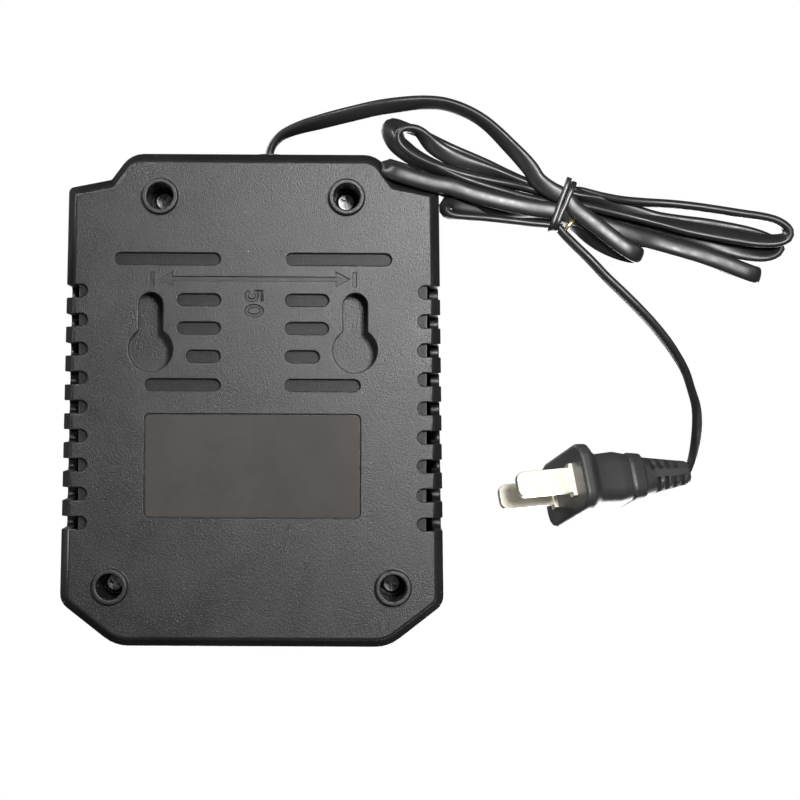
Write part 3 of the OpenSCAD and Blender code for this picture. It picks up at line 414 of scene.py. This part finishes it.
def cordMaterial():
    material, tree, shader = newMaterial("cordVinyl")
    place = objectPlace(tree)
    cloud = noise(tree, place, 9, 3).outputs["Fac"]
    dark, light = (grey(level) for level in cordSpec["colours"])
    tree.links.new(mixColours(tree, cloud, dark, light), shader.inputs["Base Color"])
    patches = noise(tree, place, 3, 3).outputs["Fac"]
    tree.links.new(remap(tree, patches, 0.3, 0.7, *cordSpec["roughness"]), shader.inputs["Roughness"])
    normal = addBumps(tree, [(noise(tree, place, 3.5, 2).outputs["Fac"], 0.2, 0.12),
                             (noise(tree, place, 0.6, 2).outputs["Fac"], 0.1, 0.01)])
    tree.links.new(normal, shader.inputs["Normal"])
    return material


def makeCord():
    hank = [point for loop in hankLoops.values() for point in loop]
    end = [(*plugPoint(plugSpec["length"] + more), cordSpec["endLean"]) for more in (0.6, 0)]
    line = evenLine(cordSpec["lead"] + hank + cordSpec["tail"] + end, cordSpec["ringStep"])
    bm = bmesh.new()
    sweepSection(bm, cordSpec["width"], cordSpec["thickness"], cordSpec["sides"], leaningFrames(line))
    cord = finishObject("mains_cord", bm, cordMaterial(), 60)
    length = sum((b.xyz - a.xyz).length for a, b in zip(line, line[1:]))
    print(f"cord {length:.0f} mm long, {len(line)} rings")
    return cord, [point.xyz * mm for point in line], length


cord, cordLine, cordLength = makeCord()


# Wire tie, two turns round the hank

tieSpec = {
    "width": 1.35, "thickness": 0.75, "step": 0.8, "sides": 12, "axis": (0.968, 0.25, 0),
    "turns": [
        (-77, 54.6, 0.9), (-76.5, 53.2, 0.5), (-75.7, 51, 0.42), (-74.8, 48.6, 0.42), (-74, 46.2, 0.42),
        (-73.2, 44, 0.42), (-72.9, 43, 0.5), (-72.7, 42.3, 1), (-72.6, 42, 2), (-72.7, 42, 3.6),
        (-72.9, 42.2, 5.4), (-73.2, 42.4, 7.2), (-73.5, 42.9, 8.5), (-73.8, 43.6, 9.4), (-74.3, 45, 9.7),
        (-75, 47.2, 9.7), (-76, 49.4, 9.7), (-77.2, 51.6, 9.6), (-78, 53, 9.1), (-78.4, 53.6, 8),
        (-78.5, 53.8, 6.4), (-78.5, 53.8, 4.8), (-78.4, 53.7, 3.2), (-78.3, 53.5, 1.9), (-78, 52.8, 0.9),
        (-77.6, 51.8, 0.5), (-76.8, 50, 0.42), (-76, 48, 0.42), (-75.1, 46.1, 0.42), (-74.4, 44.3, 0.42),
        (-74.1, 43.2, 0.5), (-73.9, 42.4, 1), (-73.9, 42, 2.1), (-74, 42.1, 3.8), (-74.3, 42.3, 5.6),
        (-74.6, 42.6, 7.4), (-75, 43.1, 8.8), (-75.3, 43.9, 9.6), (-75.7, 45, 9.9),
    ],
    "wire": [(-76.2, 42.1, 1.6), (-76.8, 42.8, 1), (-77.5, 43.7, 1), (-77.9, 44.2, 1.7)],
    "wireSize": 1.1, "wireStep": 0.3,
}


def sweepTie(points, step, wide, width, thickness, fullness):
    line = evenLine([(*p, 0) for p in points], step)
    frames = [ringFrame(p.xyz, along, Vector(wide)) for p, along in zip(line, headings(line))]
    bm = bmesh.new()
    sweepSection(bm, width, thickness, tieSpec["sides"], frames, fullness)
    return bm


def makeTie():
    width, thickness = tieSpec["width"], tieSpec["thickness"]
    bm = sweepTie(tieSpec["turns"], tieSpec["step"], tieSpec["axis"], width, thickness, 0.7)
    tie = finishObject("wire_tie", bm, plainFinish(*finishes["tie"]), 60)
    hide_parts("cord_tie")
    size = tieSpec["wireSize"]
    bm = sweepTie(tieSpec["wire"], tieSpec["wireStep"], upwards, size, size, 1)
    wire = finishObject("tie_wire_end", bm, plainFinish(*finishes["tie_wire"]), 60)
    return tie, wire


# Finishes

# One moulded or metal finish: faint clouds in its colour, and a grain in its gloss and surface
def plainFinish(name, colour, roughness, grain, depth, metallic=0.0, vary=0.15, shine=0.5):
    if name in bpy.data.materials:
        return bpy.data.materials[name]
    material, tree, shader = newMaterial(name)
    place = objectPlace(tree)
    cloudSize = 12
    cloud = remap(tree, noise(tree, place, cloudSize, 3).outputs["Fac"], 0.3, 0.7, 0, 1)
    dark = (*[c * (1 - vary) for c in colour], 1)
    light = (*[min(1, c * (1 + vary)) for c in colour], 1)
    tree.links.new(mixColours(tree, cloud, dark, light), shader.inputs["Base Color"])
    fine = noise(tree, place, grain, 3).outputs["Fac"]
    gloss = remap(tree, fine, 0.3, 0.7, roughness * 0.85, roughness * 1.15)
    tree.links.new(gloss, shader.inputs["Roughness"])
    tree.links.new(addBumps(tree, [(fine, 0.4, depth)]), shader.inputs["Normal"])
    shader.inputs["Metallic"].default_value = metallic
    shader.inputs["Specular IOR Level"].default_value = shine
    return material


# Each range in mm is where a mask starts and where it is full, so the larger may come first
housingSpec = {
    "dark": (0.013, 0.0128, 0.0136, 1), "light": (0.02, 0.0198, 0.0206, 1), "roughness": (0.27, 0.35),
    "cloudSize": 16, "dust": (0.3, 0.3, 0.3, 1), "dustSize": 0.8, "dustAmount": 0.5,
    "wrinkleSize": 0.42, "wrinkleDepth": 0.065, "grainSize": 0.26, "grainDepth": 0.09,
    "floorFrom": (1.95, 2.8), "floorUpTo": (5, 4), "floorSide": (43, 42),
    # the floor colour factor is painted shade in the recess floors
    "floorPaintedShade": 0.8, "floorShine": 0.45,
    "bandFrom": (2.1, 2.5), "bandTilt": ((-0.9, -0.8), (-0.1, -0.3)),
    "bandRoughness": 0.65, "bandShine": 0.08,
}


# The product of masks, each a value with the two ends of its range
def maskOf(tree, *parts):
    masks = [remap(tree, value, *ends, 0, 1) for value, ends in parts]
    product = masks[0]
    for mask in masks[1:]:
        product = mathNode(tree, "MULTIPLY", product, mask)
    return product


def housingMaterial():
    if "mouldedHousing" in bpy.data.materials:
        return bpy.data.materials["mouldedHousing"]
    material, tree, shader = newMaterial("mouldedHousing")

    def metres(key):
        return [end * mm for end in housingSpec[key]]

    # faint clouds in the colour and the gloss, and specks of dust
    place = objectPlace(tree)
    cloud = noise(tree, place, housingSpec["cloudSize"], 5, 0.65).outputs["Fac"]
    cloud = remap(tree, cloud, 0.32, 0.68, 0, 1)
    base = mixColours(tree, cloud, housingSpec["dark"], housingSpec["light"])
    specks = noise(tree, place, housingSpec["dustSize"], 0).outputs["Fac"]
    dust = remap(tree, specks, 0.86, 0.9, 0, housingSpec["dustAmount"])
    base = mixColours(tree, dust, base, housingSpec["dust"])

    # the floors of the slots, keyholes and wells get painted shade, a darker colour than the face, and are
    # also duller
    split = addNode(tree, "ShaderNodeSeparateXYZ", {0: place}).outputs
    height, aside = split["Z"], mathNode(tree, "ABSOLUTE", split["X"], 0)
    sunk = maskOf(tree, (height, metres("floorFrom")), (height, metres("floorUpTo")),
                  (aside, metres("floorSide")))
    # painted shade: the recess floors take the face colour made darker
    floorWithPaintedShade = mixColours(tree, 1, base, grey(housingSpec["floorPaintedShade"]), "MULTIPLY")
    tree.links.new(mixColours(tree, sunk, base, floorWithPaintedShade), shader.inputs["Base Color"])

    # the sloped band round the underside is only duller
    normal = addNode(tree, "ShaderNodeNewGeometry").outputs["Normal"]
    facing = addNode(tree, "ShaderNodeSeparateXYZ", {0: normal}).outputs["Z"]
    flat, upright = housingSpec["bandTilt"]
    band = maskOf(tree, (facing, flat), (facing, upright), (height, metres("bandFrom")))
    shine = mathNode(tree, "MULTIPLY", remap(tree, sunk, 0, 1, 0.5, 0.5 * housingSpec["floorShine"]),
                     remap(tree, band, 0, 1, 1, housingSpec["bandShine"]))
    tree.links.new(shine, shader.inputs["Specular IOR Level"])
    roughness = mathNode(tree, "MAXIMUM", remap(tree, cloud, 0, 1, *housingSpec["roughness"]),
                         remap(tree, band, 0, 1, 0, housingSpec["bandRoughness"]))
    tree.links.new(roughness, shader.inputs["Roughness"])

    # moulded texture
    wrinkle = noise(tree, place, housingSpec["wrinkleSize"], 3, 0.6).outputs["Fac"]
    grain = noise(tree, place, housingSpec["grainSize"], 2).outputs["Fac"]
    bumps = addBumps(tree, [(wrinkle, 0.8, housingSpec["wrinkleDepth"]),
                            (grain, 0.8, housingSpec["grainDepth"])])
    tree.links.new(bumps, shader.inputs["Normal"])
    return material


# By the record's material slot, and the tie's wire: what plainFinish takes, with the grain in mm
finishes = {
    "label": ("labelFilm", (0.052, 0.047, 0.044), 0.4, 2.0, 0.008, 0.0, 0.1, 0.15),
    "steel": ("zincSteel", (0.26, 0.265, 0.265), 0.38, 0.6, 0.1, 1.0),
    "terminal_plastic": ("terminalPlastic", (0.035, 0.035, 0.038), 0.45, 0.5, 0.02),
    "contacts": ("nickelPlate", (0.8, 0.77, 0.67), 0.48, 1.5, 0.003, 1.0),
    "light_pipe": ("lightPipe", (0.42, 0.46, 0.44), 0.22, 1.0, 0.01),
    "led": ("ledLens", (0.72, 0.78, 0.72), 0.2, 1.0, 0.01),
    "board": ("boardGreen", (0.02, 0.09, 0.035), 0.35, 1.2, 0.03, 0.0, 0.3),
    "ferrite": ("ferrite", (0.06, 0.06, 0.062), 0.6, 0.4, 0.04),
    "winding_tape": ("windingTape", (0.62, 0.42, 0.06), 0.35, 1.5, 0.02),
    "capacitor_sleeve": ("capacitorSleeve", (0.02, 0.026, 0.09), 0.3, 1.5, 0.01),
    "film_yellow": ("filmYellow", (0.62, 0.45, 0.05), 0.4, 1.0, 0.02),
    "disc_blue": ("discBlue", (0.03, 0.09, 0.32), 0.4, 0.8, 0.03),
    "core_green": ("coreGreen", (0.05, 0.11, 0.06), 0.5, 0.5, 0.03),
    "copper": ("enamelCopper", (0.6, 0.25, 0.08), 0.3, 0.5, 0.02, 0.8),
    "fuse_glass": ("fuseCeramic", (0.7, 0.68, 0.6), 0.35, 0.8, 0.01),
    "chip": ("chipEpoxy", (0.02, 0.02, 0.022), 0.55, 0.3, 0.02),
    "aluminium": ("sinkAluminium", (0.66, 0.67, 0.69), 0.4, 0.5, 0.03, 1.0),
    "opto_white": ("optoWhite", (0.75, 0.75, 0.72), 0.5, 0.4, 0.02),
    "lead_red": ("leadRed", (0.35, 0.02, 0.015), 0.4, 0.8, 0.02),
    "lead_brown": ("leadBrown", (0.09, 0.04, 0.02), 0.4, 0.8, 0.02),
    "clamp_plastic": ("clampPlastic", (0.06, 0.06, 0.063), 0.5, 0.5, 0.03),
    "plug": ("plugVinyl", (0.033, 0.033, 0.034), 0.44, 0.7, 0.03),
    "tie": ("tieVinyl", (0.014, 0.014, 0.015), 0.3, 0.4, 0.02),
    "tie_wire": ("brassWire", (0.85, 0.7, 0.42), 0.35, 0.3, 0.01, 1.0),
}
slots = {part["node"]: part["material_slot"] for part in frame["record"]["subparts"]}


def finishFor(slot):
    if slot == "housing":
        return housingMaterial()
    if slot == "cord":
        return bpy.data.materials["cordVinyl"]
    return plainFinish(*finishes[slot])


def giveFinishes():
    for name, obj in nodes.items():
        obj.data.materials.clear()
        obj.data.materials.append(finishFor(slots[name]))


giveFinishes()
print("finishes set")


# A merged copy of a CAD piece with its hard edges rounded off, group by group
def softCopy(node, name, bevels, cutters=(), reshape=None):
    together = 0.004 * mm
    bm = bmesh.new()
    bm.from_mesh(nodes[node].data)
    bmesh.ops.remove_doubles(bm, verts=bm.verts, dist=together)
    bmesh.ops.dissolve_degenerate(bm, edges=bm.edges, dist=together)
    bmesh.ops.dissolve_limit(bm, angle_limit=math.radians(0.6), verts=bm.verts, edges=bm.edges)
    if cutters:
        bm = engrave(bm, cutters)
    if reshape:
        reshape(bm)
    for bevel in bevels:
        limit = math.radians(bevel.get("angle", 28))
        choose = bevel.get("choose", lambda a, b: True)
        hard = [edge for edge in bm.edges if len(edge.link_faces) == 2 and edge.calc_face_angle(0) > limit
                and choose(*[vert.co / mm for vert in edge.verts])]
        bmesh.ops.bevel(bm, geom=hard, offset=bevel["width"] * mm, affect="EDGES", segments=bevel["segments"],
                        profile=0.5, clamp_overlap=bevel.get("clamp", False), material=-1)
    copy = finishObject(name, bm, finishFor(slots[node]))
    weighted = copy.modifiers.new("weighted", "WEIGHTED_NORMAL")
    weighted.keep_sharp = True
    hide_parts(node)
    print(f"{name}: {len(copy.data.polygons)} faces")
    return copy


# Cuts every cutter out of the piece and removes the cutters
def engrave(bm, cutters):
    body = looseObject("uncut", bm)
    for cutter in cutters:
        cut = body.modifiers.new("cut", "BOOLEAN")
        cut.operation = "DIFFERENCE"
        cut.solver = "EXACT"
        cut.object = cutter
    graph = bpy.context.evaluated_depsgraph_get()
    result = bmesh.new()
    result.from_mesh(body.evaluated_get(graph).to_mesh())
    for obj in (body, *cutters):
        bpy.data.objects.remove(obj)
    return result


# Lower cover: what is moulded into the underside, and its rounded edges

coverSpec = {
    "face": 1.8, "bandTop": 4.2, "depth": 0.4, "proud": 0.4,
    "engravedEdge": 0.17, "faceEdge": 0.3, "collarEdge": 0.4, "bandEdge": 0.3, "sideEdge": 0.2,
    "side": 45.6, "sideTaper": 0.017, "sideTop": 17,
    "engravedAreas": [((-26, 27.3), (26, 31.8)), ((-2.9, 19.8), (2.9, 27.3))],
    "arrow": [
        (22.9, 29.66), (19.7, 31.4), (19.7, 30.15), (-20.3, 30.15), (-20.3, 31.4), (-23.5, 29.66),
        (-20.3, 27.95), (-20.3, 29.15), (19.7, 29.15), (19.7, 27.95)],
    "ticks": [((24.7, 31.3), (24.7, 27.8)), ((-24.8, 31.4), (-24.8, 27.9))],
    "tickWidth": 0.85,
    "digitStart": (1.83, 26.9), "digitWidth": 0.6,
    "five": [(2.55, 3.95), (0.35, 3.95), (0.35, 2.1)],
    "bowl": [
        (0.2, 2.2), (0.9, 2.7), (1.6, 2.75), (2.25, 2.35), (2.42, 1.5), (2.2, 0.75), (1.6, 0.32), (0.9, 0.3),
        (0.3, 0.8)],
    "zero": {"centre": (5, 2.13), "half": (1.2, 1.85)},
}


# The outline of a stroke along a line of points
def strokeOutline(points, width):
    points = [Vector(p) for p in points]
    left, right = [], []
    for k, point in enumerate(points):
        before = (point - points[k - 1]).normalized() if k else (points[1] - point).normalized()
        after = (points[k + 1] - point).normalized() if k + 1 < len(points) else before
        along = (before + after).normalized()
        across = Vector((-along.y, along.x))
        reach = width / 2 / max(0.5, along.dot(after))
        left.append(point + across * reach)
        right.append(point - across * reach)
    return left + right[::-1]


def smoothLine(points, step):
    return [point.xy for point in evenLine([(x, y, 0, 0) for x, y in points], step)]


# A prism that stands proud of the face and reaches into it
def outlineCutter(outline, depth):
    proud = coverSpec["proud"]
    bm = bmesh.new()
    face = bm.faces.new([bm.verts.new(Vector((x, y, coverSpec["face"] - proud)) * mm) for x, y in outline])
    grown = bmesh.ops.extrude_face_region(bm, geom=[face], use_keep_orig=True)["geom"]
    verts = [item for item in grown if isinstance(item, bmesh.types.BMVert)]
    bmesh.ops.translate(bm, vec=(0, 0, (proud + depth) * mm), verts=verts)
    bmesh.ops.recalc_face_normals(bm, faces=bm.faces)
    return looseObject("cutter", bm)


def coverCutters():
    startX, startY = coverSpec["digitStart"]
    width = coverSpec["digitWidth"]

    # the figures read along -Y
    def turned(stroke):
        return [(startX - v, startY - u) for u, v in stroke]

    outlines = [coverSpec["arrow"], strokeOutline(turned(coverSpec["five"]), width),
                strokeOutline(smoothLine(turned(coverSpec["bowl"]), 0.3), width)]
    # the zero is two halves that overlap
    (u, v), (halfU, halfV) = coverSpec["zero"]["centre"], coverSpec["zero"]["half"]
    for start in (80, 260):
        angles = [math.radians(start + turn) for turn in range(0, 201, 10)]
        half = [(u + halfU * math.sin(a), v + halfV * math.cos(a)) for a in angles]
        outlines.append(strokeOutline(turned(half), width))
    outlines += [strokeOutline(tick, coverSpec["tickWidth"]) for tick in coverSpec["ticks"]]
    # where cutters overlap, their floors aren't level with each other
    return [outlineCutter(outline, coverSpec["depth"] + 0.01 * (k % 3)) for k, outline in enumerate(outlines)]


def makeCover():
    face, bandTop = coverSpec["face"], coverSpec["bandTop"]

    def level(a, b, z):
        return abs(a.z - z) < 0.03 and abs(b.z - z) < 0.03

    def marked(p):
        return any(low[0] < p.x < high[0] and low[1] < p.y < high[1]
                   for low, high in coverSpec["engravedAreas"])

    def engraved(a, b):
        return level(a, b, face) and marked(a) and marked(b)

    def outside(a, b):
        return all(abs(p.x) > coverSpec["side"] - coverSpec["sideTaper"] * p.y
                   and p.z < coverSpec["sideTop"] for p in (a, b))

    return softCopy("bottom_cover", "lower_cover", [
        {"width": coverSpec["engravedEdge"], "segments": 1, "choose": engraved},
        {"width": coverSpec["faceEdge"], "segments": 3,
         "choose": lambda a, b: level(a, b, face) and not engraved(a, b)},
        {"width": coverSpec["collarEdge"], "segments": 3, "choose": lambda a, b: level(a, b, 0)},
        {"width": coverSpec["bandEdge"], "segments": 2, "choose": lambda a, b: level(a, b, bandTop)},
        {"width": coverSpec["sideEdge"], "segments": 2, "choose": outside},
    ], coverCutters())


makeCover()
softCopy("top_housing", "upper_cover", [{"width": 0.4, "segments": 2, "clamp": True}])
print("covers made")


# Plug: fuller behind the flange, with rounded edges, and blades with shoulders

# Runs a change on a mesh while it is in the plug's own frame
def inPlugFrame(bm, change):
    bmesh.ops.transform(bm, matrix=plugPlace.inverted(), verts=bm.verts)
    for vert in bm.verts:
        change(vert)
    bmesh.ops.transform(bm, matrix=plugPlace, verts=bm.verts)


def fillPlug(bm):
    back, end, fuller = plugSpec["ringBack"], plugSpec["length"], plugSpec["fuller"]

    def fill(vert):
        x = vert.co.x / mm
        if x > plugSpec["flangeBack"]:
            past = max(0, x - back) / (end - back)
            vert.co.y *= 1 + fuller + (plugSpec["endFuller"] - fuller) * past

    inPlugFrame(bm, fill)


def trimBlades(bm):
    def trim(vert):
        if vert.co.x < plugSpec["tipsBefore"] * mm:
            vert.co.x += plugSpec["bladeTrim"] * mm

    inPlugFrame(bm, trim)
    for side in (-1, 1):
        root = Vector((plugSpec["shoulderAt"], 0, side * plugSpec["bladeSpread"])) * mm
        size = Matrix.Diagonal((*[length * mm for length in plugSpec["shoulder"]], 1))
        bmesh.ops.create_cube(bm, size=1, matrix=plugPlace @ Matrix.Translation(root) @ size)


# How far along the plug a point in mm is
def alongPlug(point):
    return (plugPlace.inverted() @ (point * mm)).x / mm


def onFlange(a, b):
    return all(alongPlug(p) < plugSpec["flangeBack"] + 0.1 for p in (a, b))


def onRing(a, b):
    low, high = plugSpec["ring"]
    return all(low < alongPlug(p) < high for p in (a, b))


plug = softCopy("plug_body", "plug_moulding", [
    {"width": 0.9, "segments": 4, "angle": 35, "clamp": True, "choose": onFlange},
    {"width": 0.4, "segments": 2, "angle": 24, "clamp": True, "choose": onRing}], reshape=fillPlug)
blades = softCopy("plug_blades", "plug_pins", [
    {"width": 0.22, "segments": 2, "angle": 35, "clamp": True}], reshape=trimBlades)
print("plug made")

tie, tieWire = makeTie()
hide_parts("mains_cord_lead", "cord_hank", "mains_cord_tail")
print("cord laid")
